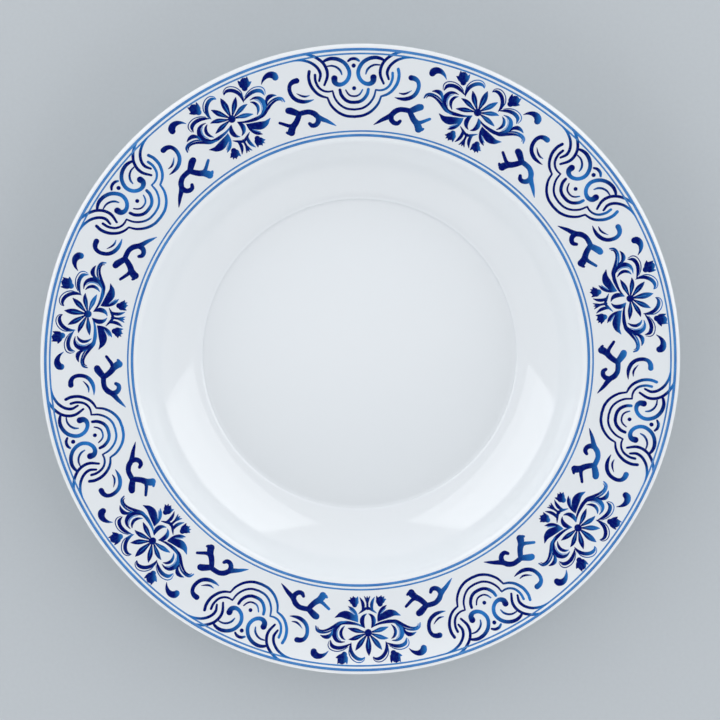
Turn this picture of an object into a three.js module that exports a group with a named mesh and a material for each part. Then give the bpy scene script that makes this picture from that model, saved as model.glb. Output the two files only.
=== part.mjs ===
// A rimmed deep plate in glazed porcelain, with a cobalt blue pattern printed round its rim.
// Millimetres, +Z up. The origin is the middle of the foot ring's flat underside.
import * as THREE from "three";

// Body
const plateDiameter = 230;
const wallThickness = 3.6;
const lipThickness = 2.6; // the rim thins towards its edge
const rimSlope = THREE.MathUtils.degToRad(14); // the rim climbs outwards
const shoulderRadius = 80.9; // corner where the rim turns down into the well
const shoulderRound = 1.6; // how far from that corner its rounding starts
const backRound = 3; // the same at the corner behind it
const wellDepth = 20; // from the shoulder's corner to the floor
const floorRadius = 58.8; // where the well's wall meets the floor
const baseThickness = 4.4;
const floorTurn = THREE.MathUtils.degToRad(17); // the wall's slope where it meets the floor
const wallSteepness = THREE.MathUtils.degToRad(66); // and where it meets the shoulder

// Foot ring
const footHeight = 3.4; // hollow under the floor, inside the ring
const footInset = 1; // the ring stands this far inside the edge of the floor
const footLand = 2.6; // width of the flat that stands on the table
const footDraft = 1.1; // how far each side of the ring leans
const footChamfer = 0.5;

// Printed pattern
const repeats = 7;
const printThickness = 0.2;
const printGap = 0.1; // clearance between the glaze and the print
const edgeLineInset = 2; // from the plate's edge to the middle of each line
const edgeFineLineInset = 3.5;
const edgeLineWidth = 0.95;
const edgeFineLineWidth = 0.6;
const wellLineOffset = 2; // from the shoulder to the middle of each line
const wellFineLineOffset = 3.5;
const wellLineWidth = 0.95;
const wellFineLineWidth = 0.6;
const patternPlace = 0.565; // middle of the flowers, as a share of the band between the fine lines
const drawnRadius = 99.7; // the motifs below are drawn for flowers at this radius,
const drawnBand = 27.1; // in a band of this width

// Fineness
const facetsPerRepeat = 8;
const facets = repeats * facetsPerRepeat;
const wallSteps = 8;
const shoulderSteps = 3;
const lipSteps = 4;
const strokeSteps = 10;

const plateRadius = plateDiameter / 2;
const lipRadius = lipThickness / 2;
const floorHeight = footHeight + baseThickness;
const shoulderHeight = floorHeight + wellDepth;
const slopeRise = Math.tan(rimSlope);
const footRadius = floorRadius - footInset; // outside of the ring where it stands
const edgeLineRadius = plateRadius - edgeLineInset;
const edgeFineLineRadius = plateRadius - edgeFineLineInset;
const wellLineRadius = shoulderRadius + wellLineOffset;
const wellFineLineRadius = shoulderRadius + wellFineLineOffset;
const patternBand = edgeFineLineRadius - wellFineLineRadius;
const patternRadius = wellFineLineRadius + patternBand * patternPlace;
const patternScale = Math.min(patternBand / drawnBand, patternRadius / drawnRadius);

// Height of the rim's upper face at a distance from the axis.
function rimHeight(radius) {
  return shoulderHeight + (radius - shoulderRadius) * slopeRise;
}

// Directions in the plane of radius and height: up a slope, and square to it away from the food.
function upSlope(slope) {
  return new THREE.Vector2(Math.cos(slope), Math.sin(slope));
}

function behindSlope(slope) {
  return new THREE.Vector2(Math.sin(slope), -Math.cos(slope));
}

// The point where a slanted line through a meets one through b.
function meetingPoint(a, slopeA, b, slopeB) {
  const riseA = Math.tan(slopeA);
  const riseB = Math.tan(slopeB);
  const radius = (b.y - a.y + a.x * riseA - b.x * riseB) / (riseA - riseB);
  return new THREE.Vector2(radius, a.y + (radius - a.x) * riseA);
}

// The well's wall from its foot up to the corner, and the rounded corner out to the rim.
function wallSection(foot, corner, round) {
  const bend = meetingPoint(foot, floorTurn, corner, wallSteepness);
  const wallTop = corner.clone().addScaledVector(upSlope(wallSteepness), -round);
  const rimStart = corner.clone().addScaledVector(upSlope(rimSlope), round);
  const wall = new THREE.QuadraticBezierCurve(foot, bend, wallTop);
  const shoulder = new THREE.QuadraticBezierCurve(wallTop, corner, rimStart);
  return [...wall.getPoints(wallSteps), ...shoulder.getPoints(shoulderSteps).slice(1)];
}

function faceSection() {
  const foot = new THREE.Vector2(floorRadius, floorHeight);
  const corner = new THREE.Vector2(shoulderRadius, shoulderHeight);
  return wallSection(foot, corner, shoulderRound);
}

// The back runs one wall thickness behind the face.
function backSection() {
  const foot = new THREE.Vector2(floorRadius, floorHeight);
  foot.addScaledVector(behindSlope(floorTurn), wallThickness);
  const behindWall = behindSlope(wallSteepness);
  const behindRim = behindSlope(rimSlope);
  const reach = wallThickness / (1 + behindWall.dot(behindRim));
  const corner = new THREE.Vector2(shoulderRadius, shoulderHeight);
  corner.addScaledVector(behindWall, reach).addScaledVector(behindRim, reach);
  return wallSection(foot, corner, backRound);
}

// Section of the plate, from the axis under the floor, round the lip, to the axis on the floor.
function bodyProfile() {
  const lipCentre = new THREE.Vector2(plateRadius - lipRadius, 0);
  lipCentre.y = rimHeight(lipCentre.x) - lipRadius / Math.cos(rimSlope);
  const lip = new THREE.EllipseCurve(
    lipCentre.x,
    lipCentre.y,
    lipRadius,
    lipRadius,
    rimSlope - Math.PI / 2,
    rimSlope + Math.PI / 2,
  );
  const hollowRadius = footRadius - footLand - footDraft;
  return [
    new THREE.Vector2(0, footHeight),
    new THREE.Vector2(hollowRadius - footChamfer, footHeight),
    new THREE.Vector2(hollowRadius, footHeight - footChamfer),
    new THREE.Vector2(footRadius - footLand - footChamfer, footChamfer),
    new THREE.Vector2(footRadius - footLand, 0),
    new THREE.Vector2(footRadius, 0),
    new THREE.Vector2(footRadius + footChamfer, footChamfer),
    new THREE.Vector2(footRadius + footDraft, footHeight - footChamfer),
    ...backSection(),
    ...lip.getPoints(lipSteps),
    ...faceSection().reverse(),
    new THREE.Vector2(0, floorHeight),
  ];
}

// A solid of revolution about Z from points of radius and height, in order round the section.
function turned(profile) {
  return new THREE.LatheGeometry(profile, facets).rotateX(Math.PI / 2);
}

// A printed line round the plate, lying on the rim.
function printedLine(radius, width) {
  const inner = radius - width / 2;
  const outer = radius + width / 2;
  const under = printGap / Math.cos(rimSlope);
  const over = (printGap + printThickness) / Math.cos(rimSlope);
  return turned([
    new THREE.Vector2(inner, rimHeight(inner) + under),
    new THREE.Vector2(outer, rimHeight(outer) + under),
    new THREE.Vector2(outer, rimHeight(outer) + over),
    new THREE.Vector2(inner, rimHeight(inner) + over),
    new THREE.Vector2(inner, rimHeight(inner) + under),
  ]);
}

// A point of the front repeat's print: across runs along the rim, out runs up its slope from the
// pattern's middle, and lift is the height above the glaze. The turned body has flat facets, so the
// print is laid on them, not on the true cone.
function onRim(across, out, lift) {
  const side = across * patternScale;
  const ahead = patternRadius + out * patternScale * Math.cos(rimSlope);
  const facetAngle = (2 * Math.PI) / facets;
  const angle = Math.atan2(side, ahead);
  const offMiddle = angle - (Math.floor(angle / facetAngle) + 0.5) * facetAngle;
  const facetScale = Math.cos(offMiddle) / Math.cos(facetAngle / 2);
  const height = rimHeight(Math.hypot(side, ahead) * facetScale) + lift / Math.cos(rimSlope);
  return [-side, -ahead, height];
}

// A closed print from rows of outline points: each row goes across the print, and rows follow one
// another along it. Every row has the same number of points.
function printFromRows(rows, closed) {
  const width = rows[0].length;
  const layer = rows.length * width;
  const corners = [];
  for (const lift of [printGap, printGap + printThickness]) {
    for (const row of rows) {
      for (const [across, out] of row) {
        corners.push(...onRim(across, out, lift));
      }
    }
  }
  const faces = [];
  const quad = (a, b, c, d) => faces.push(a, b, c, a, c, d);
  const side = (a, b) => quad(a, b, b + layer, a + layer);
  const lastRow = closed ? rows.length : rows.length - 1;
  for (let i = 0; i < lastRow; i++) {
    const here = i * width;
    const next = ((i + 1) % rows.length) * width;
    for (let j = 0; j + 1 < width; j++) {
      quad(here + j, next + j, next + j + 1, here + j + 1);
      quad(layer + here + j, layer + here + j + 1, layer + next + j + 1, layer + next + j);
    }
    side(next, here);
    side(here + width - 1, next + width - 1);
  }
  if (!closed) {
    for (let j = 0; j + 1 < width; j++) {
      side(j, j + 1);
      side(layer - width + j + 1, layer - width + j);
    }
  }
  const geometry = new THREE.BufferGeometry();
  geometry.setAttribute("position", new THREE.Float32BufferAttribute(corners, 3));
  geometry.setIndex(faces);
  geometry.computeVertexNormals();
  return geometry;
}

// A brush stroke along a smooth spine of [across, out, half width] points.
function stroke(points) {
  const spine = new THREE.SplineCurve(points.map(([across, out]) => new THREE.Vector2(across, out)));
  const fullness = new THREE.SplineCurve(points.map((point, i) => new THREE.Vector2(i, point[2])));
  const rows = [];
  for (let i = 0; i <= strokeSteps; i++) {
    const t = i / strokeSteps;
    const middle = spine.getPoint(t);
    const along = spine.getTangent(t);
    const half = fullness.getPoint(t).y;
    rows.push([
      [middle.x - along.y * half, middle.y + along.x * half],
      [middle.x + along.y * half, middle.y - along.x * half],
    ]);
  }
  return printFromRows(rows, false);
}

// The same stroke on the other side of its motif.
function mirrored(points) {
  return points.map(([across, out, half]) => [-across, out, half]);
}

// The seven open petals of a flower head, as one wavy fan; the leaf garland passes below it.
const petalCount = 7;
const petalSpacing = THREE.MathUtils.degToRad(34.6);
const petalReach = 7.8;
const petalDip = 3.2; // radius between two petals
const bossRadius = 1.2; // the middle of the flower, where it has no petals
const pointsPerPetal = 4;
const bossPoints = 6;

function flowerHead() {
  const spread = (petalCount * petalSpacing) / 2;
  const outline = [];
  for (let i = 0; i <= petalCount * pointsPerPetal; i++) {
    const turn = (i * petalSpacing) / pointsPerPetal;
    const wave = 0.5 - 0.5 * Math.cos((turn / petalSpacing) * 2 * Math.PI);
    outline.push([turn - spread, petalDip + (petalReach - petalDip) * wave]);
  }
  for (let i = 0; i < bossPoints; i++) {
    const turn = ((i + 0.5) / bossPoints) * (2 * Math.PI - 2 * spread);
    outline.push([turn + spread, bossRadius]);
  }
  const rows = outline.map(([turn, reach]) => {
    const angle = turn + Math.PI / 2;
    return [[0, 0], [reach * Math.cos(angle), reach * Math.sin(angle)]];
  });
  return printFromRows(rows, true);
}

// Outlines of the other motifs, each as [across, out, half width] along its spine.
const leafGarland = [
  [-18.6, -2.6, 0.3],
  [-16.6, -1.2, 0.6],
  [-12.6, -1.6, 1.3],
  [-8.4, -3.7, 0.9],
  [-3.6, -3.0, 0.5],
  [0, -2.1, 0.25],
];
const cloudKnot = [
  [-17.2, 4.4, 0.4],
  [-12.2, 3.6, 5.6],
  [-7.6, 3.2, 6.8],
  [0, 0.2, 10],
];
const coralSprig = [
  [6.9, -13.4, 0.25],
  [11.6, -11.1, 0.7],
  [14.2, -8.6, 0.9],
  [17.2, -8.0, 0.8],
  [20.2, -9.4, 1.0],
  [21.2, -12.2, 0.9],
  [22.9, -15.2, 1.2],
];
const hookScroll = [
  [19.6, 3.4, 0.7],
  [21.8, 3.0, 0.9],
  [23, 0.2, 0.7],
  [21.6, -3.0, 0.8],
  [18.4, -4.5, 0.6],
  [14.4, -4.0, 0.2],
];

// Both halves of a motif that lies on its own middle line, given its left half out to that line.
function bothHalves(points) {
  return [...points, ...mirrored(points).reverse().slice(1)];
}

const cobalt = 0x10297f;
const lineBlue = 0x3d78b8;

function addPiece(group, name, geometry, color, roughness) {
  const material = new THREE.MeshStandardMaterial({ color, roughness, metalness: 0 });
  const piece = new THREE.Mesh(geometry, material);
  piece.name = name;
  group.add(piece);
}

const plate = new THREE.Group();
addPiece(plate, "porcelain_body", turned(bodyProfile()), 0xe4e9ef, 0.12);
addPiece(plate, "edge_line", printedLine(edgeLineRadius, edgeLineWidth), lineBlue, 0.2);
addPiece(plate, "edge_fine_line", printedLine(edgeFineLineRadius, edgeFineLineWidth), lineBlue, 0.2);
addPiece(plate, "well_fine_line", printedLine(wellFineLineRadius, wellFineLineWidth), lineBlue, 0.2);
addPiece(plate, "well_line", printedLine(wellLineRadius, wellLineWidth), lineBlue, 0.2);

// One repeat of the pattern has a flower over its leaf garland, and the cloud to its right with a
// hook and a sprig on each side.
for (let i = 0; i < repeats; i++) {
  const number = i + 1;
  const flowerSide = new THREE.Group();
  flowerSide.rotation.z = (i * 2 * Math.PI) / repeats;
  const cloudSide = new THREE.Group();
  cloudSide.rotation.z = ((i + 0.5) * 2 * Math.PI) / repeats;
  plate.add(flowerSide, cloudSide);
  addPiece(flowerSide, `flower_head_${number}`, flowerHead(), cobalt, 0.2);
  addPiece(flowerSide, `leaf_garland_${number}`, stroke(bothHalves(leafGarland)), cobalt, 0.2);
  addPiece(cloudSide, `cloud_knot_${number}`, stroke(bothHalves(cloudKnot)), cobalt, 0.2);
  addPiece(cloudSide, `hook_right_${number}`, stroke(hookScroll), cobalt, 0.2);
  addPiece(cloudSide, `hook_left_${number}`, stroke(mirrored(hookScroll)), cobalt, 0.2);
  addPiece(cloudSide, `sprig_right_${number}`, stroke(coralSprig), cobalt, 0.2);
  addPiece(cloudSide, `sprig_left_${number}`, stroke(mirrored(coralSprig)), cobalt, 0.2);
}

export default plate;
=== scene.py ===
import math
import bpy
from mathutils import Matrix, Vector


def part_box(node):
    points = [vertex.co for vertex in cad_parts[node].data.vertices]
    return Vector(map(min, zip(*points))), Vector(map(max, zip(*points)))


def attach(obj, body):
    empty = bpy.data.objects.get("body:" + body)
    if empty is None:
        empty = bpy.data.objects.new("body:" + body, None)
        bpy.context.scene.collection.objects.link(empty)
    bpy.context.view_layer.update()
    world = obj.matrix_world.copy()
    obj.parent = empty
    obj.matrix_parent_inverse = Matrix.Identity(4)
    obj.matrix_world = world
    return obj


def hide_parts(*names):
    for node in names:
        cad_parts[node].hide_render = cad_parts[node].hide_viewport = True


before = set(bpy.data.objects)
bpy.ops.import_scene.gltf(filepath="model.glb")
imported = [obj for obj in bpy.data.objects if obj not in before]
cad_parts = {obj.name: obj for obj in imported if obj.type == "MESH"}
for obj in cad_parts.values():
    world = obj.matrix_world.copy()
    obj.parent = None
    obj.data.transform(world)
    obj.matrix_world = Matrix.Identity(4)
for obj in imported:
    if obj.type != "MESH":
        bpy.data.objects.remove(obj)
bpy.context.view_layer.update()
scene = bpy.context.scene
mm = 0.001
print("frame loaded:", len(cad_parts), "nodes")


# Sizes that the body and the prints share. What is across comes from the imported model.
plateSizes = {
    "wallThickness": 3.6 * mm,
    "lipThickness": 2.6 * mm,
    "rimSlope": math.radians(14),
    "shoulderRadius": 80.9 * mm,  # corner where the rim turns down into the well
    "shoulderRound": 1.6 * mm,
    "backRound": 3.0 * mm,
    "floorRadius": 58.8 * mm,
    "floorHeight": 7.8 * mm,
    "wellDepth": 20.0 * mm,
    "floorTurn": math.radians(17),
    "wallSteepness": math.radians(66),
    "footHeight": 3.4 * mm,
    "footInset": 1.0 * mm,
    "footLand": 2.6 * mm,
    "footDraft": 1.1 * mm,
    "repeats": 7,
}
weldDistance = 0.0005 * mm  # points of a turned piece closer than this are one
inkWeldDistance = 0.0002 * mm
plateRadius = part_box("porcelain_body")[1].x
rimRise = math.tan(plateSizes["rimSlope"])
shoulderHeight = plateSizes["floorHeight"] + plateSizes["wellDepth"]
# where the rim's cone meets the axis
coneHeight = shoulderHeight - plateSizes["shoulderRadius"] * rimRise


def rimHeight(radius):
    return coneHeight + radius * rimRise


# Helpers for both kinds of node tree
def addNode(tree, kind, inputs=None, **settings):
    made = tree.nodes.new(kind)
    for name, value in settings.items():
        setattr(made, name, value)
    for key, value in (inputs or {}).items():
        if isinstance(value, bpy.types.NodeSocket):
            tree.links.new(value, made.inputs[key])
        else:
            made.inputs[key].default_value = value
    return made


def mathNode(tree, operation, *values):
    return addNode(tree, "ShaderNodeMath", dict(enumerate(values)), operation=operation).outputs[0]


def wholeNode(tree, operation, *values):
    return addNode(tree, "FunctionNodeIntegerMath", dict(enumerate(values)), operation=operation).outputs[0]


def positionAxes(tree):
    place = addNode(tree, "GeometryNodeInputPosition").outputs[0]
    return addNode(tree, "ShaderNodeSeparateXYZ", {"Vector": place}).outputs


def readAttribute(tree, name, kind="FLOAT"):
    return addNode(tree, "GeometryNodeInputNamedAttribute", {"Name": name}, data_type=kind).outputs[0]


def newGeometryTree(name, inputs):
    tree = bpy.data.node_groups.new(name, "GeometryNodeTree")
    tree.interface.new_socket("Geometry", in_out="INPUT", socket_type="NodeSocketGeometry")
    for label, kind in inputs:
        tree.interface.new_socket(label, in_out="INPUT", socket_type=kind)
    tree.interface.new_socket("Geometry", in_out="OUTPUT", socket_type="NodeSocketGeometry")
    given = tree.nodes.new("NodeGroupInput").outputs
    return tree, given


def finishTree(tree, geometry, material):
    painted = addNode(tree, "GeometryNodeSetMaterial", {"Geometry": geometry, "Material": material})
    addNode(tree, "NodeGroupOutput", {"Geometry": painted.outputs[0]})


# Runs a tree on a mesh of lines and leaves a plain mesh object with no modifier
def grow(name, lines, tree, values):
    source = bpy.data.objects.new(name + "Lines", lines)
    scene.collection.objects.link(source)
    modifier = source.modifiers.new("grow", "NODES")
    modifier.node_group = tree
    given = [item for item in tree.interface.items_tree if item.in_out == "INPUT"]
    sockets = {item.name: item.identifier for item in given}
    for label, value in values.items():
        modifier[sockets[label]] = value
    bpy.context.view_layer.update()
    depsgraph = bpy.context.evaluated_depsgraph_get()
    mesh = bpy.data.meshes.new_from_object(source.evaluated_get(depsgraph), depsgraph=depsgraph)
    bpy.data.objects.remove(source)
    mesh.name = name
    piece = bpy.data.objects.new(name, mesh)
    scene.collection.objects.link(piece)
    print("made", name, len(mesh.vertices), "vertices,", len(mesh.polygons), "faces")
    return piece


def linesMesh(name, chains, attributes=None):
    points = [point for chain in chains for point in chain]
    edges = []
    start = 0
    for chain in chains:
        edges += [(start + i, start + i + 1) for i in range(len(chain) - 1)]
        start += len(chain)
    mesh = bpy.data.meshes.new(name)
    mesh.from_pydata(points, edges, [])
    for label, numbers in (attributes or {}).items():
        kind = "INT" if isinstance(numbers[0], int) else "FLOAT"
        mesh.attributes.new(label, kind, "POINT").data.foreach_set("value", numbers)
    return mesh


# A section of points in the XZ plane, turned round Z as on a potter's wheel
def makeWheelTree():
    inputs = [("Facets", "NodeSocketInt"), ("Material", "NodeSocketMaterial")]
    tree, given = newGeometryTree("wheel", inputs)
    section = given["Geometry"]
    facets = given["Facets"]
    counted = addNode(tree, "GeometryNodeAttributeDomainSize", {"Geometry": section})
    size = counted.outputs["Point Count"]
    columns = wholeNode(tree, "ADD", facets, 1)
    grid = addNode(tree, "GeometryNodeMeshGrid", {"Vertices X": columns, "Vertices Y": size})
    index = addNode(tree, "GeometryNodeInputIndex").outputs[0]
    column = wholeNode(tree, "DIVIDE_FLOOR", index, size)
    row = wholeNode(tree, "MODULO", index, size)
    place = addNode(tree, "GeometryNodeInputPosition").outputs[0]
    sample = addNode(tree, "GeometryNodeSampleIndex", data_type="FLOAT_VECTOR", domain="POINT")
    tree.links.new(section, sample.inputs["Geometry"])
    tree.links.new(place, sample.inputs["Value"])
    tree.links.new(row, sample.inputs["Index"])
    step = mathNode(tree, "DIVIDE", 2 * math.pi, facets)
    angle = mathNode(tree, "MULTIPLY", column, step)
    turned = {"Vector": sample.outputs[0], "Angle": angle}
    spun = addNode(tree, "ShaderNodeVectorRotate", turned, rotation_type="Z_AXIS")
    swept = {"Geometry": grid.outputs["Mesh"], "Position": spun.outputs[0]}
    moved = addNode(tree, "GeometryNodeSetPosition", swept)
    weld = {"Geometry": moved.outputs[0], "Distance": weldDistance}
    closed = addNode(tree, "GeometryNodeMergeByDistance", weld)
    smooth = addNode(tree, "GeometryNodeSetShadeSmooth", {"Geometry": closed.outputs[0]})
    finishTree(tree, smooth.outputs[0], given["Material"])
    return tree


wheelTree = makeWheelTree()


mostShapes = 100  # more than any motif has, so that each shape of each repeat has its own number
tipPoints = 5  # points across a ribbon
sharpEdge = math.radians(40)


# Brush strokes: flat lines in the plane of across (X) and out (Y), which become thin ribbons of ink
# laid on the rim's cone and repeated round it.
def makeBrushTree():
    inputs = [
        ("Repeats", "NodeSocketInt"),
        ("First Turn", "NodeSocketFloat"),
        ("Middle Radius", "NodeSocketFloat"),
        ("Slope", "NodeSocketFloat"),
        ("Cone Height", "NodeSocketFloat"),
        ("Sunk", "NodeSocketFloat"),
        ("Ink", "NodeSocketFloat"),
        ("Wash Start", "NodeSocketFloat"),
        ("Material", "NodeSocketMaterial"),
    ]
    tree, given = newGeometryTree("brush", inputs)
    halfWidth = readAttribute(tree, "halfWidth")
    curve = addNode(tree, "GeometryNodeMeshToCurve", {"Mesh": given["Geometry"]})
    upright = addNode(tree, "GeometryNodeSetCurveNormal", {"Curve": curve.outputs[0]}, mode="Z_UP")

    # the brush's flat section, with how far each of its points is from the stroke's middle
    tip = addNode(tree, "GeometryNodeCurvePrimitiveLine", {"Start": (-1, 0, 0), "End": (1, 0, 0)})
    tip = addNode(tree, "GeometryNodeResampleCurve", {"Curve": tip.outputs[0], "Count": tipPoints})
    reach = positionAxes(tree)
    tip = addNode(
        tree,
        "GeometryNodeStoreNamedAttribute",
        {"Geometry": tip.outputs[0], "Name": "across", "Value": reach["X"]},
        data_type="FLOAT",
        domain="POINT",
    )
    ribbon = addNode(
        tree,
        "GeometryNodeCurveToMesh",
        {"Curve": upright.outputs[0], "Profile Curve": tip.outputs[0], "Scale": halfWidth},
    )

    # lay the ribbon on the cone, a little below the glaze
    flat = positionAxes(tree)
    lean = mathNode(tree, "COSINE", given["Slope"])
    ahead = mathNode(tree, "MULTIPLY_ADD", flat["Y"], lean, given["Middle Radius"])
    sideSquared = mathNode(tree, "MULTIPLY", flat["X"], flat["X"])
    radius = mathNode(tree, "SQRT", mathNode(tree, "MULTIPLY_ADD", ahead, ahead, sideSquared))
    rise = mathNode(tree, "TANGENT", given["Slope"])
    cone = mathNode(tree, "MULTIPLY_ADD", radius, rise, given["Cone Height"])
    layer = readAttribute(tree, "layer")
    height = mathNode(tree, "ADD", mathNode(tree, "SUBTRACT", cone, given["Sunk"]), layer)
    laid = addNode(
        tree,
        "ShaderNodeCombineXYZ",
        {
            "X": mathNode(tree, "MULTIPLY", flat["X"], -1.0),
            "Y": mathNode(tree, "MULTIPLY", ahead, -1.0),
            "Z": height,
        },
    )
    onCone = {"Geometry": ribbon.outputs[0], "Position": laid.outputs[0]}
    ribbon = addNode(tree, "GeometryNodeSetPosition", onCone)
    normal = addNode(tree, "GeometryNodeInputNormal").outputs[0]
    facing = addNode(tree, "ShaderNodeSeparateXYZ", {"Vector": normal}).outputs["Z"]
    zero = {0: facing, 1: 0.0}
    below = addNode(tree, "FunctionNodeCompare", zero, data_type="FLOAT", operation="LESS_THAN")
    upturned = {"Mesh": ribbon.outputs[0], "Selection": below.outputs[0]}
    ribbon = addNode(tree, "GeometryNodeFlipFaces", upturned)

    # thicken it to a closed solid
    up = addNode(tree, "ShaderNodeCombineXYZ", {"Z": 1.0})
    raised = addNode(
        tree,
        "GeometryNodeExtrudeMesh",
        {
            "Mesh": ribbon.outputs[0],
            "Offset": up.outputs[0],
            "Offset Scale": given["Ink"],
            "Individual": False,
        },
    )
    under = addNode(tree, "GeometryNodeFlipFaces", {"Mesh": ribbon.outputs[0]})
    joined = addNode(tree, "GeometryNodeJoinGeometry")
    tree.links.new(raised.outputs["Mesh"], joined.inputs[0])
    tree.links.new(under.outputs[0], joined.inputs[0])
    weld = {"Geometry": joined.outputs[0], "Distance": inkWeldDistance}
    solid = addNode(tree, "GeometryNodeMergeByDistance", weld)

    # one copy for each repeat
    points = addNode(tree, "GeometryNodePoints", {"Count": given["Repeats"]})
    index = addNode(tree, "GeometryNodeInputIndex").outputs[0]
    turn = mathNode(tree, "DIVIDE", 2 * math.pi, given["Repeats"])
    turn = mathNode(tree, "MULTIPLY_ADD", index, turn, given["First Turn"])
    copies = addNode(
        tree,
        "GeometryNodeInstanceOnPoints",
        {
            "Points": points.outputs[0],
            "Instance": solid.outputs[0],
            "Rotation": addNode(tree, "ShaderNodeCombineXYZ", {"Z": turn}).outputs[0],
        },
    )
    numbered = addNode(
        tree,
        "GeometryNodeStoreNamedAttribute",
        {"Geometry": copies.outputs[0], "Name": "repeat", "Value": index},
        data_type="INT",
        domain="INSTANCE",
    )
    real = addNode(tree, "GeometryNodeRealizeInstances", {"Geometry": numbered.outputs[0]})

    # each shape's ink thins out to a lighter wash towards its own +X end
    along = positionAxes(tree)["X"]
    repeat = readAttribute(tree, "repeat", "INT")
    shape = readAttribute(tree, "shape", "INT")
    group = wholeNode(tree, "MULTIPLY_ADD", repeat, mostShapes, shape)
    ends = addNode(tree, "GeometryNodeFieldMinAndMax", {"Value": along, "Group ID": group})
    run = addNode(tree, "ShaderNodeMapRange", {0: along, 1: ends.outputs["Min"], 2: ends.outputs["Max"]})
    thinned = addNode(tree, "ShaderNodeMapRange", {0: run.outputs[0], 1: given["Wash Start"], 2: 1.0})
    wash = readAttribute(tree, "wash")
    tone = readAttribute(tree, "tone")
    toned = addNode(
        tree,
        "GeometryNodeStoreNamedAttribute",
        {"Geometry": real.outputs[0], "Name": "tone"},
        data_type="FLOAT",
        domain="POINT",
    )
    tree.links.new(mathNode(tree, "MULTIPLY_ADD", thinned.outputs[0], wash, tone), toned.inputs["Value"])
    smooth = addNode(tree, "GeometryNodeSetShadeSmooth", {"Geometry": toned.outputs[0]})
    bend = addNode(tree, "GeometryNodeInputMeshEdgeAngle").outputs["Unsigned Angle"]
    limit = {0: bend, 1: sharpEdge}
    sharp = addNode(tree, "FunctionNodeCompare", limit, data_type="FLOAT", operation="GREATER_THAN")
    edged = addNode(
        tree,
        "GeometryNodeStoreNamedAttribute",
        {"Geometry": smooth.outputs[0], "Name": "sharp_edge"},
        data_type="BOOLEAN",
        domain="EDGE",
    )
    tree.links.new(sharp.outputs[0], edged.inputs["Value"])
    finishTree(tree, edged.outputs[0], given["Material"])
    return tree


brushTree = makeBrushTree()
print("node trees made")


# Materials
def newMaterial(name):
    material = bpy.data.materials.new(name)
    material.use_nodes = True
    tree = material.node_tree
    tree.nodes.clear()
    shader = addNode(tree, "ShaderNodeBsdfPrincipled")
    addNode(tree, "ShaderNodeOutputMaterial", {"Surface": shader.outputs[0]})
    return material, tree, shader


def mixColors(tree, factor, a, b):
    made = addNode(tree, "ShaderNodeMix", data_type="RGBA")
    for socket, value in ((made.inputs[0], factor), (made.inputs[6], a), (made.inputs[7], b)):
        if isinstance(value, bpy.types.NodeSocket):
            tree.links.new(value, socket)
        else:
            socket.default_value = value
    return made.outputs[2]


def noiseNode(tree, place, scale, detail):
    settings = {"Vector": place, "Scale": scale, "Detail": detail}
    return addNode(tree, "ShaderNodeTexNoise", settings).outputs[0]


def rangeNode(tree, value, fromLow, fromHigh, toLow, toHigh):
    ends = {0: value, 1: fromLow, 2: fromHigh, 3: toLow, 4: toHigh}
    return addNode(tree, "ShaderNodeMapRange", ends).outputs[0]


def ramp(tree, value, stops):
    made = addNode(tree, "ShaderNodeValToRGB", {0: value})
    elements = made.color_ramp.elements
    while len(elements) < len(stops):
        elements.new(0.5)
    for element, (place, level) in zip(elements, stops):
        element.position = place
        element.color = (level, level, level, 1)
    return made.outputs[0]


glazeLooks = {
    "white": (0.805, 0.845, 0.86, 1),
    "pooled": (0.79, 0.835, 0.86, 1),  # darker, bluer glaze: the clouds' tone, and at the floor's edge pooled glaze with painted shade
    "thin": (0.86, 0.885, 0.90, 1),  # lighter over the lip: thin glaze with a painted highlight
    "biscuit": (0.78, 0.75, 0.70, 1),  # unglazed clay on the foot
    "roughness": 0.03,
    "rougher": 0.06,  # where the glaze is a little duller
    "biscuitRoughness": 0.62,
    "gloss": 0.75,
    "wave": 0.015,
    "biscuitDark": (0.66, 0.62, 0.56, 1),
    "cloudScale": 18.0,
    "cloudStops": [(0.3, 0.0), (0.7, 0.35)],
    "grainScale": 2600.0,
    "waveScale": 55.0,
    "creaseReach": 2.2 * mm,  # how far from the floor's edge the darker glaze reaches, pooled glaze with painted shade
    "lipReach": 1.2 * mm,
    "biscuitFrom": 0.25 * mm,  # bare clay below this height, glaze above the next
    "biscuitTo": 0.4 * mm,
}


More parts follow.
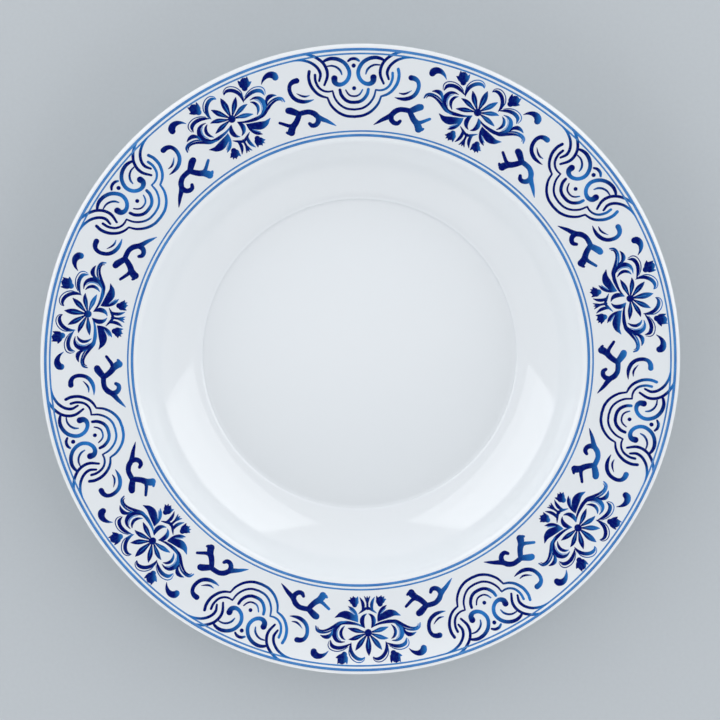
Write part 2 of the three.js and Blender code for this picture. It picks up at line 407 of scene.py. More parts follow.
def makeGlaze(looks):
    material, tree, shader = newMaterial("glaze")
    place = addNode(tree, "ShaderNodeTexCoord").outputs["Object"]
    axes = addNode(tree, "ShaderNodeSeparateXYZ", {0: place})
    flatPlace = addNode(tree, "ShaderNodeCombineXYZ", {0: axes.outputs["X"], 1: axes.outputs["Y"]})
    length = addNode(tree, "ShaderNodeVectorMath", {0: flatPlace.outputs[0]}, operation="LENGTH")
    radius = length.outputs["Value"]

    # slow clouds in the clay and fine unevenness in the glaze
    clouds = noiseNode(tree, place, looks["cloudScale"], 3.0)
    tint = mixColors(tree, ramp(tree, clouds, looks["cloudStops"]), looks["white"], looks["pooled"])

    # darker glaze at the foot of the wall, pooled glaze with painted shade, and lighter glaze over the lip,
    # thin glaze with a painted highlight
    floorRadius = plateSizes["floorRadius"]
    fromCrease = mathNode(tree, "ABSOLUTE", mathNode(tree, "SUBTRACT", radius, floorRadius))
    creasePoolAndShade = rangeNode(tree, fromCrease, 0.0, looks["creaseReach"], 0.5, 0.0)
    tint = mixColors(tree, creasePoolAndShade, tint, looks["pooled"])
    # lighter towards the lip's edge: thin glaze with a painted highlight
    lipThinAndHighlight = rangeNode(tree, radius, plateRadius - looks["lipReach"], plateRadius, 0.0, 0.8)
    tint = mixColors(tree, lipThinAndHighlight, tint, looks["thin"])

    # the ground foot shows bare clay
    foot = rangeNode(tree, axes.outputs["Z"], looks["biscuitFrom"], looks["biscuitTo"], 1.0, 0.0)
    grain = noiseNode(tree, place, looks["grainScale"], 4.0)
    clay = mixColors(tree, grain, looks["biscuit"], looks["biscuitDark"])
    tree.links.new(mixColors(tree, foot, tint, clay), shader.inputs["Base Color"])
    gloss = rangeNode(tree, clouds, 0.3, 0.7, looks["roughness"], looks["rougher"])
    rough = addNode(tree, "ShaderNodeMix", {0: foot, 2: gloss, 3: looks["biscuitRoughness"]}).outputs[0]
    tree.links.new(rough, shader.inputs["Roughness"])

    # the glaze's gentle waves
    waves = noiseNode(tree, place, looks["waveScale"], 2.0)
    bump = addNode(tree, "ShaderNodeBump", {"Strength": looks["wave"], "Distance": 1.0 * mm, "Height": waves})
    tree.links.new(bump.outputs[0], shader.inputs["Normal"])
    shader.inputs["Specular IOR Level"].default_value = looks["gloss"]
    return material


inkLooks = {
    "dark": (0.0005, 0.004, 0.13, 1),
    "light": (0.022, 0.18, 0.52, 1),
    "pale": (0.30, 0.46, 0.72, 1),
    "roughness": 0.09,
    "rougher": 0.15,
    "gloss": 0.32,
    "mottleScale": 900.0,
    "mottle": (-0.07, 0.09),  # how far the mottling shifts the tone
    "edgeTone": 0.16,  # how much paler the ink is along a stroke's edges
}


# The tone attribute runs from 0, the full dark ink, over 1, the lighter wash, to 2, a pale veil
def makeInk(name, looks):
    material, tree, shader = newMaterial(name)
    place = addNode(tree, "ShaderNodeTexCoord").outputs["Object"]
    tone = addNode(tree, "ShaderNodeAttribute", attribute_name="tone").outputs["Fac"]
    across = addNode(tree, "ShaderNodeAttribute", attribute_name="across").outputs["Fac"]
    mottle = noiseNode(tree, place, looks["mottleScale"], 3.0)
    shift = rangeNode(tree, mottle, 0.3, 0.7, *looks["mottle"])
    edge = mathNode(tree, "POWER", mathNode(tree, "ABSOLUTE", across), 4.0)
    paler = mathNode(tree, "MULTIPLY", edge, looks["edgeTone"])
    tone = mathNode(tree, "ADD", mathNode(tree, "ADD", tone, shift), paler)
    first = addNode(tree, "ShaderNodeClamp", {0: tone}).outputs[0]
    second = addNode(tree, "ShaderNodeClamp", {0: mathNode(tree, "SUBTRACT", tone, 1.0)}).outputs[0]
    color = mixColors(tree, second, mixColors(tree, first, looks["dark"], looks["light"]), looks["pale"])
    tree.links.new(color, shader.inputs["Base Color"])
    ends = {0: mottle, 3: looks["roughness"], 4: looks["rougher"]}
    gloss = addNode(tree, "ShaderNodeMapRange", ends).outputs[0]
    tree.links.new(gloss, shader.inputs["Roughness"])
    shader.inputs["IOR"].default_value = 1.5
    shader.inputs["Specular IOR Level"].default_value = looks["gloss"]
    return material


glaze = makeGlaze(glazeLooks)
cobaltInk = makeInk("cobaltInk", inkLooks)
print("materials made")


# Body
bodySettings = {
    "facets": 280,
    "wallSteps": 34,
    "roundSteps": 8,
    "floorSteps": 22,
    "footRound": 0.5 * mm,
    "creaseStep": 0.2 * mm,  # low step at the edge of the floor
    "creaseWidth": 1.5 * mm,
    "creaseFade": 10 * mm,  # the step fades out over this width below the shoulder
    "lipSteps": 14,
    "hollowSteps": 12,
    "footSteps": 5,
    "wallCrowding": 1.6,
    "floorCrowding": 1.8,
}


def upSlope(slope):
    return Vector((math.cos(slope), math.sin(slope)))


def behindSlope(slope):
    return Vector((math.sin(slope), -math.cos(slope)))


# where a line through a with one slope meets a line through b with another
def meetingPoint(a, slopeA, b, slopeB):
    riseA, riseB = math.tan(slopeA), math.tan(slopeB)
    radius = (b.y - a.y + a.x * riseA - b.x * riseB) / (riseA - riseB)
    return Vector((radius, a.y + (radius - a.x) * riseA))


# points on a curve from a past b to c, closer together at the start where crowding is above 1
def quadratic(a, b, c, steps, crowding=1.0):
    shares = [(i / steps) ** crowding for i in range(steps + 1)]
    return [a * (1 - t) ** 2 + b * 2 * t * (1 - t) + c * t * t for t in shares]


# the wall from its foot up to the corner, and the rounded corner out to the rim
def wallSection(foot, corner, rounding, settings):
    steepness = plateSizes["wallSteepness"]
    bend = meetingPoint(foot, plateSizes["floorTurn"], corner, steepness)
    top = corner - upSlope(steepness) * rounding
    rimStart = corner + upSlope(plateSizes["rimSlope"]) * rounding
    wall = quadratic(foot, bend, top, settings["wallSteps"], crowding=settings["wallCrowding"])
    return wall + quadratic(top, corner, rimStart, settings["roundSteps"])[1:]


def arcPoints(centre, radius, start, end, steps):
    angles = [start + (end - start) * i / steps for i in range(steps + 1)]
    return [Vector((centre[0] + radius * math.cos(a), centre[1] + radius * math.sin(a))) for a in angles]


# a corner cut back by a short curve
def rounded(before, corner, after, size, steps):
    start = corner + (before - corner).normalized() * size
    end = corner + (after - corner).normalized() * size
    return quadratic(start, corner, end, steps)


def bodySection(settings):
    sizes = plateSizes
    thickness, slope = sizes["wallThickness"], sizes["rimSlope"]
    floorEdge = Vector((sizes["floorRadius"], sizes["floorHeight"]))
    corner = Vector((sizes["shoulderRadius"], shoulderHeight))
    face = wallSection(floorEdge, corner, sizes["shoulderRound"], settings)
    behindWall, behindRim = behindSlope(sizes["wallSteepness"]), behindSlope(slope)
    reach = thickness / (1 + behindWall.dot(behindRim))
    backCorner = corner + (behindWall + behindRim) * reach
    backFoot = floorEdge + behindSlope(sizes["floorTurn"]) * thickness
    back = wallSection(backFoot, backCorner, sizes["backRound"], settings)
    lipRadius = sizes["lipThickness"] / 2
    lipCentre = Vector((plateRadius - lipRadius, 0))
    lipCentre.y = rimHeight(lipCentre.x) - lipRadius / math.cos(slope)
    quarter = math.pi / 2
    lip = arcPoints(lipCentre, lipRadius, slope - quarter, slope + quarter, settings["lipSteps"])

    # the foot ring, from the hollow under the floor round to the back of the wall
    footRadius = sizes["floorRadius"] - sizes["footInset"]
    hollow = footRadius - sizes["footLand"] - sizes["footDraft"]
    corners = [
        Vector((0, sizes["footHeight"])),
        Vector((hollow, sizes["footHeight"])),
        Vector((footRadius - sizes["footLand"], 0)),
        Vector((footRadius, 0)),
        Vector((footRadius + sizes["footDraft"], sizes["footHeight"])),
        backFoot,
    ]
    hollowSteps = settings["hollowSteps"]
    foot = [corners[0]]
    foot += [Vector((hollow * i / hollowSteps, sizes["footHeight"])) for i in range(1, hollowSteps)]
    for i in range(1, len(corners) - 1):
        around = corners[i - 1], corners[i], corners[i + 1]
        foot += rounded(*around, settings["footRound"], settings["footSteps"])

    steps = settings["floorSteps"]
    shares = [1 - (1 - i / steps) ** settings["floorCrowding"] for i in range(steps)]
    floor = [Vector((floorEdge.x * share, floorEdge.y)) for share in shares]
    section = foot + back + lip + face[::-1] + floor[::-1]
    crease, width = settings["creaseStep"], settings["creaseWidth"]
    for point in section[len(foot) + len(back) + len(lip):]:
        share = min(1, max(0, (point.x - floorEdge.x + width / 2) / width))
        fade = min(1, max(0, (sizes["shoulderRadius"] - point.x) / settings["creaseFade"]))
        point.y -= crease * (1 - share * share * (3 - 2 * share)) * fade
    return section


def addBody(settings):
    section = [(point.x, 0, point.y) for point in bodySection(settings)]
    values = {"Facets": settings["facets"], "Material": glaze}
    piece = grow("plateBody", linesMesh("bodySection", [section]), wheelTree, values)
    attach(piece, "root")
    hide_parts("porcelain_body")


addBody(bodySettings)


# Printed lines
lineSettings = {
    "facets": 280,
    "sunk": 0.05 * mm,
    "proud": 0.03 * mm,
    "lines": [
        ("edge_line", 0.95 * mm),
        ("edge_fine_line", 0.6 * mm),
        ("well_fine_line", 0.6 * mm),
        ("well_line", 0.95 * mm),
    ],
    "dark": (0.028, 0.17, 0.48, 1),
    "light": (0.055, 0.24, 0.57, 1),
    "roughness": (0.08, 0.15),
    "mottleScale": 260.0,
    "mottleStops": [(0.3, 0.0), (0.7, 1.0)],
}


def makeLineInk(looks):
    material, tree, shader = newMaterial("lineInk")
    place = addNode(tree, "ShaderNodeTexCoord").outputs["Object"]
    mottle = noiseNode(tree, place, looks["mottleScale"], 4.0)
    color = mixColors(tree, ramp(tree, mottle, looks["mottleStops"]), looks["dark"], looks["light"])
    tree.links.new(color, shader.inputs["Base Color"])
    smooth, rough = looks["roughness"]
    gloss = addNode(tree, "ShaderNodeMapRange", {0: mottle, 3: smooth, 4: rough}).outputs[0]
    tree.links.new(gloss, shader.inputs["Roughness"])
    shader.inputs["IOR"].default_value = 1.5
    return material


lineInk = makeLineInk(lineSettings)


def addLine(node, width, settings):
    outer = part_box(node)[1].x
    inner = outer - width
    low, high = -settings["sunk"], settings["proud"]
    middle = (inner + outer) / 2
    corners = [(inner, low), (outer, low), (outer, high), (middle, high), (inner, high), (inner, low)]
    section = [(radius, 0, rimHeight(radius) + lift) for radius, lift in corners]
    name = "".join(word.capitalize() for word in node.split("_"))
    values = {"Facets": settings["facets"], "Material": lineInk}
    piece = grow(name[0].lower() + name[1:], linesMesh(node + "Section", [section]), wheelTree, values)
    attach(piece, "root")
    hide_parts(node)


for node, width in lineSettings["lines"]:
    addLine(node, width, lineSettings)


# Brushwork
brushSettings = {
    "stepLength": 0.45 * mm,
    "fewestSteps": 8,
    "roundFrom": 0.14,  # ends at least this wide, in mm, are rounded
    "roundSteps": 5,
    "thinnest": 0.03,
    "spread": 0.055,  # how far the ink runs beyond the drawn width, in mm
    "sunk": 0.05 * mm,
    "ink": 0.08 * mm,
    "layerLift": 0.0015 * mm,  # each stroke lies on those made before it
    "washStart": 0.62,  # how far along a shape its ink starts to thin
    "patternShare": 0.565,  # where the motifs' middles lie between the two fine lines
}
halfFineLine = 0.3 * mm
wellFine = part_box("well_fine_line")[1].x - halfFineLine
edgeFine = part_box("edge_fine_line")[1].x - halfFineLine
patternRadius = wellFine + brushSettings["patternShare"] * (edgeFine - wellFine)


# One stroke through points of across, out and half width in mm. Tones are spread evenly along it, on top of
# the wash that its whole shape has.
def stroke(shape, *points, tones=(0, 0), wash=1.0, shared=False, middle=False):
    return {
        "shape": shape,
        "points": points,
        "tones": tones,
        "wash": wash,
        "shared": shared or middle,  # both sides are one shape
        "middle": middle,
    }


def throughPoints(values, t):
    place = t * (len(values) - 1)
    i = min(int(place), len(values) - 2)
    f = place - i
    before = values[max(i - 1, 0)] if i > 0 else 2 * values[0] - values[1]
    after = values[i + 2] if i + 2 < len(values) else 2 * values[-1] - values[-2]
    a, b = values[i], values[i + 1]
    squared = (2 * before - 5 * a + 4 * b - after) * f * f
    cubed = (3 * a - before - 3 * b + after) * f ** 3
    return 0.5 * (2 * a + (b - before) * f + squared + cubed)


def alongTones(tones, t):
    place = t * (len(tones) - 1)
    i = min(int(place), len(tones) - 2)
    return tones[i] + (tones[i + 1] - tones[i]) * (place - i)


# the stroke's line as rows of across, out, half width and tone, with round ends
def strokeRows(made, settings, side):
    across, out, half = ([point[k] for point in made["points"]] for k in range(3))
    places = [point[:2] for point in made["points"]]
    length = sum(math.dist(places[i], places[i + 1]) for i in range(len(places) - 1))
    steps = max(settings["fewestSteps"], round(length * mm / settings["stepLength"]))
    rows = []
    for i in range(steps + 1):
        t = i / steps
        width = max(settings["thinnest"], throughPoints(half, t) + settings["spread"])
        tone = alongTones(made["tones"], t)
        rows.append([side * throughPoints(across, t), throughPoints(out, t), width, tone])
    for end, inside in ((0, 1), (-1, -2)):
        x, y, width, tone = rows[end]
        if width < settings["roundFrom"]:
            continue
        away = Vector((x - rows[inside][0], y - rows[inside][1])).normalized()
        cap = []
        for k in range(1, settings["roundSteps"] + 1):
            turn = math.pi / 2 * k / settings["roundSteps"]
            reach = width * math.sin(turn)
            narrowed = max(settings["thinnest"], width * math.cos(turn))
            cap.append([x + away.x * reach, y + away.y * reach, narrowed, tone])
        rows = cap[::-1] + rows if end == 0 else rows + cap
    return rows


# A motif's strokes, those off its middle line drawn on both sides of it
def addMotif(name, strokes, firstTurn, nodes, settings, material):
    chains, widths, tones, layers, shapes, washes = [], [], [], [], [], []
    shapeNumbers = {}
    for number, made in enumerate(strokes):
        for side in (1,) if made["middle"] else (1, -1):
            rows = strokeRows(made, settings, side)
            key = (made["shape"], 0 if made["shared"] else side)
            shape = shapeNumbers.setdefault(key, len(shapeNumbers))
            chains.append([(x * mm, y * mm, 0) for x, y, width, tone in rows])
            widths += [width * mm for x, y, width, tone in rows]
            tones += [float(tone) for x, y, width, tone in rows]
            layers += [(2 * number + (side < 0)) * settings["layerLift"]] * len(rows)
            shapes += [shape] * len(rows)
            washes += [made["wash"]] * len(rows)
    attributes = {
        "halfWidth": widths,
        "tone": tones,
        "layer": layers,
        "shape": shapes,
        "wash": washes,
    }
    values = {
        "Repeats": plateSizes["repeats"],
        "First Turn": firstTurn,
        "Middle Radius": patternRadius,
        "Slope": plateSizes["rimSlope"],
        "Cone Height": coneHeight,
        "Sunk": settings["sunk"],
        "Ink": settings["ink"],
        "Wash Start": settings["washStart"],
        "Material": material,
    }
    piece = grow(name, linesMesh(name + "Lines", chains, attributes), brushTree, values)
    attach(piece, "root")
    for node in nodes:
        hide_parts(*[f"{node}_{i + 1}" for i in range(plateSizes["repeats"])])


cloudTurn = math.pi / plateSizes["repeats"]

flowerStrokes = [
    stroke("petals", (0, 0.9, 0.2), (0, 2.6, 0.58), (0.05, 4.9, 1.04), (0, 6.9, 0.77),
           (-0.05, 8.5, 0.04), middle=True),
    stroke("petals", (0.5, 0.8, 0.15), (1.6, 2.1, 0.49), (2.95, 3.75, 0.9), (4.0, 5.2, 0.64),
           (4.9, 6.4, 0.04), shared=True),
    stroke("petals", (0.9, 0.35, 0.15), (2.6, 1.0, 0.49), (4.4, 1.7, 0.79), (6.0, 2.15, 0.53),
           (7.35, 2.25, 0.04), shared=True),
    stroke("petals", (0.9, -0.1, 0.15), (2.6, -0.45, 0.49), (4.3, -0.9, 0.81), (6.0, -1.4, 0.58),
           (7.5, -1.9, 0.04), shared=True),
    stroke("petals", (0, 2.2, 0.03), (0.03, 4.0, 0.13), (0.05, 6.0, 0.03), tones=(0.8, 0.6),
           middle=True),
    stroke("petals", (1.45, 1.85, 0.03), (2.5, 3.2, 0.12), (3.5, 4.6, 0.03), tones=(0.8, 0.5),
           shared=True),
    stroke("petals", (2.1, 0.8, 0.03), (3.6, 1.42, 0.11), (5.2, 1.95, 0.03), tones=(0.8, 0.5),
           shared=True),
    stroke("petals", (2.1, -0.35, 0.03), (3.7, -0.73, 0.11), (5.2, -1.2, 0.03), tones=(0.8, 0.5),
           shared=True),
    stroke("petals", (0, 0.0, 1.25), (0, 0.1, 1.3), (0, 0.2, 1.25), middle=True),
    stroke("cupPetal", (1.15, -1.75, 0.05), (1.75, -2.6, 0.5), (2.15, -4.0, 0.78), (1.95, -5.3, 0.72),
           (1.3, -6.3, 0.42), (0.3, -6.95, 0.04)),
]
garlandStrokes = [
    stroke("scroll", (1.2, -1.75, 0.08), (2.6, -2.6, 0.26), (4.6, -3.35, 0.42), (7.6, -3.9, 0.62),
           (9.6, -3.8, 0.55), (11.2, -2.9, 0.3)),
    stroke("scroll", (8.7, 3.1, 0.06), (10.5, 3.05, 0.38), (12.0, 2.1, 0.62), (12.65, 0.1, 0.78),
           (12.0, -1.9, 0.68), (10.2, -3.3, 0.3)),
    stroke("scroll", (10.2, 2.6, 0.05), (11.35, 1.3, 0.16), (11.5, -0.6, 0.16), (10.5, -2.3, 0.05),
           tones=(1.5, 1.2, 1.5)),
    stroke("innerScroll", (8.5, 2.45, 0.05), (9.6, 1.55, 0.42), (10.15, 0.0, 0.54), (9.7, -1.5, 0.42),
           (8.6, -2.8, 0.05)),
    stroke("strand", (7.8, -4.35, 0.05), (10.4, -4.0, 0.46), (12.8, -2.65, 0.5), (15.0, -1.65, 0.38),
           (16.9, -1.35, 0.3), (18.3, -1.9, 0.18), (18.6, -2.9, 0.05)),
    stroke("strand", (12.3, -2.1, 0.05), (14.2, -1.0, 0.24), (16.0, -0.6, 0.28), (17.8, -0.8, 0.34),
           (19.0, -1.7, 0.36), (19.3, -3.1, 0.2), tones=(0.15, 0.3)),
    stroke("scrollLeaf", (13.1, -1.7, 0.05), (13.7, 0.0, 0.42), (15.0, 0.95, 0.74), (16.5, 0.85, 0.5),
           (17.8, 0.2, 0.04)),
    stroke("bigLeaf", (3.6, -3.9, 0.05), (4.7, -5.05, 0.8), (6.3, -6.1, 1.28), (8.1, -6.85, 1.4),
           (9.9, -6.9, 0.95), (11.2, -6.4, 0.42), (12.2, -6.0, 0.04)),
    stroke("bigLeaf", (3.65, -4.5, 0.1), (4.15, -6.2, 0.5), (4.9, -7.8, 0.62), (5.9, -9.0, 0.5),
           (7.1, -9.9, 0.04)),
    stroke("bigLeaf", (4.7, -6.7, 0.05), (5.9, -8.0, 0.16), (6.9, -9.0, 0.05), tones=(1.3, 1.0)),
    stroke("stamens", (3.4, -7.0, 0.04), (2.2, -7.85, 0.32), (1.1, -8.6, 0.45), (0, -9.1, 0.45),
           shared=True),
    stroke("stamens", (1.9, -8.0, 0.25), (1.55, -9.7, 0.55), (1.9, -11.4, 0.48), (2.75, -13.0, 0.04),
           shared=True),
    stroke("stamens", (0, -8.7, 0.4), (0, -10.4, 0.36), (0, -12.1, 0.42), (0, -13.4, 0.05), middle=True),
    stroke("stamens", (0.2, -11.2, 0.25), (0.65, -12.6, 0.24), (1.1, -13.4, 0.04), shared=True),
]
curlStrokes = [
    stroke("curls", (6.4, 3.4, 0.04), (6.75, 5.3, 0.52), (6.3, 7.2, 0.62), (5.2, 8.75, 0.64),
           (3.8, 9.6, 0.6), (2.5, 9.65, 0.42), (1.5, 8.9, 0.05)),
    stroke("curls", (7.15, 5.2, 0.04), (7.35, 7.3, 0.14), (6.5, 9.3, 0.14), (4.9, 10.6, 0.13),
           (3.2, 10.85, 0.13), (1.9, 10.15, 0.1), (1.5, 9.0, 0.04), tones=(0.4, 0.1)),
    stroke("curls", (6.6, 3.8, 0.04), (8.4, 4.7, 0.45), (10.3, 5.2, 0.62), (12.2, 5.05, 0.64),
           (13.7, 4.1, 0.6), (14.1, 2.2, 0.05)),
    stroke("curls", (7.6, 5.0, 0.04), (9.6, 6.1, 0.13), (12.0, 6.45, 0.13), (14.2, 5.6, 0.14),
           (15.0, 4.1, 0.14), (14.5, 2.4, 0.04), tones=(0.3, 0.1)),
]
budStrokes = [
    stroke("outerBud", (9.1, 7.7, 1.0), (9.4, 8.4, 1.75), (9.75, 9.1, 1.95), (10.0, 9.6, 1.6)),
    stroke("outerBud", (8.6, 9.0, 0.8), (8.35, 10.2, 0.5), (8.2, 11.3, 0.04)),
    stroke("outerBud", (9.8, 9.3, 0.8), (9.95, 10.4, 0.45), (10.05, 11.4, 0.04)),
    stroke("outerBud", (10.8, 9.2, 0.8), (11.2, 10.1, 0.5), (11.7, 11.1, 0.04)),
    stroke("outerBud", (10.8, 8.5, 0.75), (11.5, 8.6, 0.5), (12.3, 8.75, 0.04)),
    stroke("innerBud", (4.7, -10.4, 0.95), (4.7, -11.0, 1.45), (4.8, -11.6, 1.5), (4.95, -12.0, 1.15)),
    stroke("innerBud", (4.0, -11.8, 0.7), (3.7, -12.6, 0.42), (3.45, -13.4, 0.04)),
    stroke("innerBud", (5.0, -11.9, 0.7), (5.1, -12.8, 0.4), (5.2, -13.6, 0.04)),
    stroke("innerBud", (5.7, -11.4, 0.7), (6.3, -11.9, 0.45), (7.05, -12.1, 0.04)),
    stroke("innerBud", (5.6, -11.9, 0.5), (6.0, -12.7, 0.25), (6.3, -13.2, 0.04)),
]
commaStrokes = [
    stroke("comma", (14.85, 6.15, 0.04), (16.1, 7.25, 0.42), (17.7, 7.9, 0.82), (19.2, 7.75, 1.12),
           (20.2, 6.9, 1.24), (20.35, 6.1, 1.1)),
]
cloudStrokes = [
    stroke("outerRibbon", (17.2, 12.35, 0.3), (15.2, 11.95, 0.42), (13.0, 11.0, 0.48), (10.8, 9.2, 0.48),
           (9.5, 6.8, 0.5), (9.3, 4.2, 0.48), (10.4, 1.2, 0.36), tones=(1, 0.75, 0, 0, 0, 0), wash=0.0),
    stroke("innerRibbon", (21.0, 10.15, 0.22), (18.0, 10.2, 0.38), (15.0, 9.3, 0.46), (12.7, 7.4, 0.48),
           (11.7, 5.1, 0.48), (12.2, 2.7, 0.34), tones=(1, 0.8, 0.1, 0, 0, 0), wash=0.0),
    stroke("outerContour", (15.6, 6.2, 0.5), (15.85, 4.0, 0.52), (15.2, 1.2, 0.52), (13.5, -1.3, 0.48),
           (11.6, -2.7, 0.42), (9.45, -3.4, 0.3), shared=True),
    stroke("outerContour", (9.45, -3.4, 0.3), (8.3, -6.1, 0.4), (6.0, -8.6, 0.45), (3.1, -10.1, 0.47),
           (0, -10.5, 0.47), shared=True),
    stroke("innerContour", (13.6, 4.9, 0.42), (13.5, 2.8, 0.42), (12.5, 0.5, 0.4), (10.9, -0.8, 0.36),
           (9.2, -1.2, 0.32), (7.6, -1.0, 0.26), shared=True),
    stroke("innerContour", (7.6, -1.0, 0.26), (6.8, -3.7, 0.34), (5.0, -6.1, 0.36), (2.7, -7.5, 0.37),
           (0, -7.9, 0.37), shared=True),
    stroke("thickArc", (5.0, -0.7, 0.48), (4.6, -2.4, 0.54), (3.3, -4.2, 0.55), (1.7, -5.1, 0.55),
           (0, -5.3, 0.55), shared=True),
    stroke("thinArc", (2.95, -0.8, 0.2), (2.2, -2.1, 0.26), (1.2, -2.9, 0.28), (0, -3.1, 0.28),
           shared=True),
    stroke("dots", (0, -0.22, 0.66), (0, -0.2, 0.68), (0, -0.18, 0.66), wash=0.0, middle=True),
    stroke("dots", (0, 7.88, 0.7), (0, 7.9, 0.72), (0, 7.92, 0.7), wash=0.0, middle=True),
    stroke("topArc", (1.9, 9.55, 0.34), (1.0, 10.2, 0.48), (0, 10.4, 0.5), shared=True),
    stroke("coil", (10.8, 9.4, 0.36), (9.4, 10.2, 0.52), (7.6, 10.6, 0.62), (5.3, 10.2, 0.64),
           (3.2, 8.9, 0.64), (1.85, 6.8, 0.64), (1.55, 4.8, 0.64), (2.3, 2.8, 0.64), (3.8, 1.5, 0.66),
           (5.5, 1.25, 0.76), (6.7, 2.1, 0.92), (6.85, 3.5, 1.08),
           tones=(0, 0, 0.1, 0.45, 0.75, 1.0, 0.75, 0.3, 0), wash=0.0),
    stroke("coil", (9.1, 7.9, 0.2), (7.5, 8.0, 0.3), (5.9, 7.4, 0.34), (4.7, 6.2, 0.34),
           (4.2, 4.8, 0.18), tones=(0.1, 0.1, 0.6), wash=0.0),
]
hookStrokes = [
    stroke("hook", (20.1, 3.0, 0.95), (21.4, 2.6, 0.85), (22.5, 1.5, 0.68), (22.7, -0.4, 0.66),
           (21.8, -2.6, 0.66), (20.2, -4.0, 0.68), (18.0, -4.6, 0.66), (15.9, -4.4, 0.42),
           (14.2, -3.9, 0.05)),
    stroke("hookLine", (15.8, -2.4, 0.1), (17.2, -2.75, 0.33), (18.6, -2.45, 0.3), (20.3, -1.55, 0.04)),
]
sprigStrokes = [
    stroke("sprig", (6.6, -13.65, 0.05), (8.3, -12.7, 0.45), (10.0, -11.75, 0.68), (11.7, -11.0, 0.84),
           (13.0, -10.2, 0.9), (14.3, -9.0, 0.95), (16.1, -8.35, 0.88), (18.0, -8.55, 0.88),
           (19.6, -9.0, 0.9)),
    stroke("sprig", (18.2, -8.6, 0.68), (19.7, -8.9, 0.96), (21.3, -8.3, 1.13), (22.6, -7.8, 1.22),
           (23.3, -7.7, 1.13)),
    stroke("sprig", (19.5, -9.0, 0.9), (20.1, -10.7, 0.95), (20.9, -12.3, 1.02), (21.9, -13.6, 1.13),
           (22.5, -15.2, 1.27), (22.5, -15.7, 1.24)),
    stroke("sprig", (21.9, -13.3, 0.79), (23.4, -13.2, 0.62), (25.1, -12.6, 0.54), (26.5, -12.1, 0.47)),
    stroke("sprig", (22.8, -15.6, 0.68), (23.5, -15.9, 0.59), (24.1, -15.7, 0.41)),
    stroke("sprig", (12.9, -10.4, 0.9), (12.9, -11.9, 0.88), (13.8, -13.1, 0.81), (15.1, -13.35, 0.75),
           (16.0, -12.6, 0.56)),
]

motifs = [
    ("flowerHeads", flowerStrokes, 0.0, ["flower_head"]),
    ("leafGarlands", garlandStrokes, 0.0, ["leaf_garland"]),
    ("curledLeaves", curlStrokes, 0.0, []),
    ("flowerBuds", budStrokes, 0.0, []),
    ("commaStrokes", commaStrokes, 0.0, []),
    ("cloudKnots", cloudStrokes, cloudTurn, ["cloud_knot"]),
    ("hookScrolls", hookStrokes, cloudTurn, ["hook_right", "hook_left"]),
    ("coralSprigs", sprigStrokes, cloudTurn, ["sprig_right", "sprig_left"]),
]
for name, strokes, turn, nodes in motifs:
    addMotif(name, strokes, turn, nodes, brushSettings, cobaltInk)


# Camera
cameraSettings = {
    "distance": 650 * mm,
    "lens": 89.6,
    "sensor": 36.0,
    "tilt": 9.66,  # degrees back from straight above
    "lean": 1.3,
    "roll": 1.47,
    "aimAcross": -0.4 * mm,
    "aimUp": 1.95 * mm,
}


def addCamera(settings):
    camera = bpy.data.objects.new("camera", bpy.data.cameras.new("camera"))
    scene.collection.objects.link(camera)
    camera.data.lens = settings["lens"]
    camera.data.sensor_width = settings["sensor"]
    turn = Matrix.Rotation(math.radians(settings["tilt"]), 3, "X")
    turn = turn @ Matrix.Rotation(math.radians(settings["lean"]), 3, "Y")
    turn = turn @ Matrix.Rotation(math.radians(settings["roll"]), 3, "Z")
    back = turn.transposed()  # from the picture's axes to the plate's
    target = Vector((0, 0, rimHeight(wellFine)))
    place = target + back @ Vector((settings["aimAcross"], settings["aimUp"], settings["distance"]))
    camera.matrix_world = Matrix.Translation(place) @ back.to_4x4()
    scene.camera = camera


addCamera(cameraSettings)


# Light
lightSettings = {
    "softboxes": [
        # name, degrees round the plate, degrees above the table, distance, width, height, watts
        ("softboxRight", 29, 28, 1.1, 1.1, 0.75, 1.0),
        ("softboxLeft", 151, 28, 1.1, 1.1, 0.75, 1.0),
        ("softboxFront", 270, 30, 1.3, 1.8, 0.75, 0.7),
    ],
    "reflectors": [
        # panels that show only in the gloss, laid out in the same way
        ("reflectorRight", 27, 32, 1.1, 1.15, 1.15, 4.6),
        ("reflectorLeft", 149, 32, 1.1, 1.15, 1.15, 4.6),
    ],
    "tint": (0.98, 0.985, 1.0),
    "sky": (0.965, 0.968, 1.0, 1),
    "skyStrength": 1.16,
    "ceiling": (0.0, -0.225, 0.974),  # direction of the dim round ceiling
    "ceilingHalfAngle": 25,
    "ceilingFade": 8,
    "ceilingLevel": 0.07,
    "skylight": (0.0, -0.052, 0.9986),  # direction of the soft bright patch in it
    "skylightHalfAngle": 2,
    "skylightFade": 9,
    "skylightStrength": 1.1,
}


def addSoftbox(name, azimuth, elevation, distance, width, height, power, tint):
    data = bpy.data.lights.new(name, "AREA")
    data.shape = "RECTANGLE"
    data.size = width
    data.size_y = height
    data.energy = power
    data.color = tint
    a, e = math.radians(azimuth), math.radians(elevation)
    way = Vector((math.cos(a) * math.cos(e), math.sin(a) * math.cos(e), math.sin(e)))
    lamp = bpy.data.objects.new(name, data)
    lamp.location = way * distance
    lamp.rotation_euler = way.to_track_quat("Z", "Y").to_euler()
    scene.collection.objects.link(lamp)
    return lamp


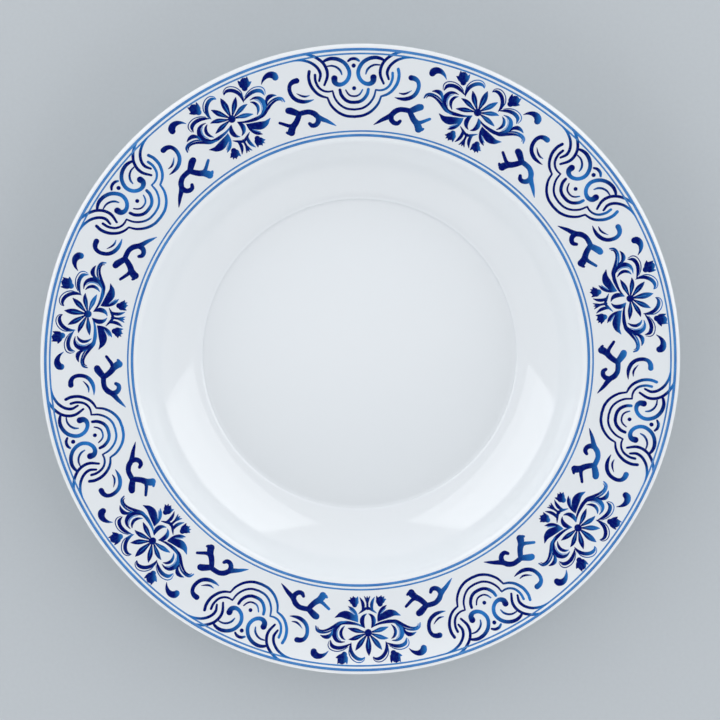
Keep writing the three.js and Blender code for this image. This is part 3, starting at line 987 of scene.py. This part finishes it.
# A bright tent of light with a dim round ceiling and a soft skylight in it
def addTent(settings):
    world = bpy.data.worlds.new("world")
    world.use_nodes = True
    tree = world.node_tree
    sky = tree.nodes["Background"]
    way = addNode(tree, "ShaderNodeTexCoord").outputs["Object"]

    def patch(name, outside, inside):
        toward = addNode(tree, "ShaderNodeVectorMath", {0: way, 1: settings[name]}, operation="DOT_PRODUCT")
        half, fade = settings[name + "HalfAngle"], settings[name + "Fade"]
        edges = {
            0: toward.outputs["Value"],
            1: math.cos(math.radians(half + fade)),
            2: math.cos(math.radians(half)),
            3: outside,
            4: inside,
        }
        return addNode(tree, "ShaderNodeMapRange", edges, interpolation_type="SMOOTHSTEP").outputs[0]

    strength = settings["skyStrength"]
    ceiling = patch("ceiling", strength, strength * settings["ceilingLevel"])
    skylight = patch("skylight", 0.0, settings["skylightStrength"])
    sky.inputs["Color"].default_value = settings["sky"]
    tree.links.new(mathNode(tree, "ADD", ceiling, skylight), sky.inputs["Strength"])
    scene.world = world


for box in lightSettings["softboxes"]:
    addSoftbox(*box, lightSettings["tint"])
for box in lightSettings["reflectors"]:
    addSoftbox(*box, lightSettings["tint"]).visible_diffuse = False
addTent(lightSettings)


# Floor
floorSettings = {
    "size": 6.0,
    "color": (0.50, 0.54, 0.56, 1),
    "paler": 1.06,  # how much the paler grains differ
    "grainScale": 700.0,
    "roughness": 0.7,
}


def addFloor(settings):
    half = settings["size"] / 2
    mesh = bpy.data.meshes.new("tableTop")
    corners = [(-half, -half, 0), (half, -half, 0), (half, half, 0), (-half, half, 0)]
    mesh.from_pydata(corners, [], [(0, 1, 2, 3)])
    material, tree, shader = newMaterial("tablePaper")
    place = addNode(tree, "ShaderNodeTexCoord").outputs["Object"]
    grain = noiseNode(tree, place, settings["grainScale"], 3.0)
    paler = tuple(min(1, level * settings["paler"]) for level in settings["color"][:3]) + (1,)
    tree.links.new(mixColors(tree, grain, settings["color"], paler), shader.inputs["Base Color"])
    shader.inputs["Roughness"].default_value = settings["roughness"]
    mesh.materials.append(material)
    floor = bpy.data.objects.new("tableTop", mesh)
    scene.collection.objects.link(floor)


addFloor(floorSettings)
scene.view_settings.view_transform = "Standard"
print("camera, light and floor made")
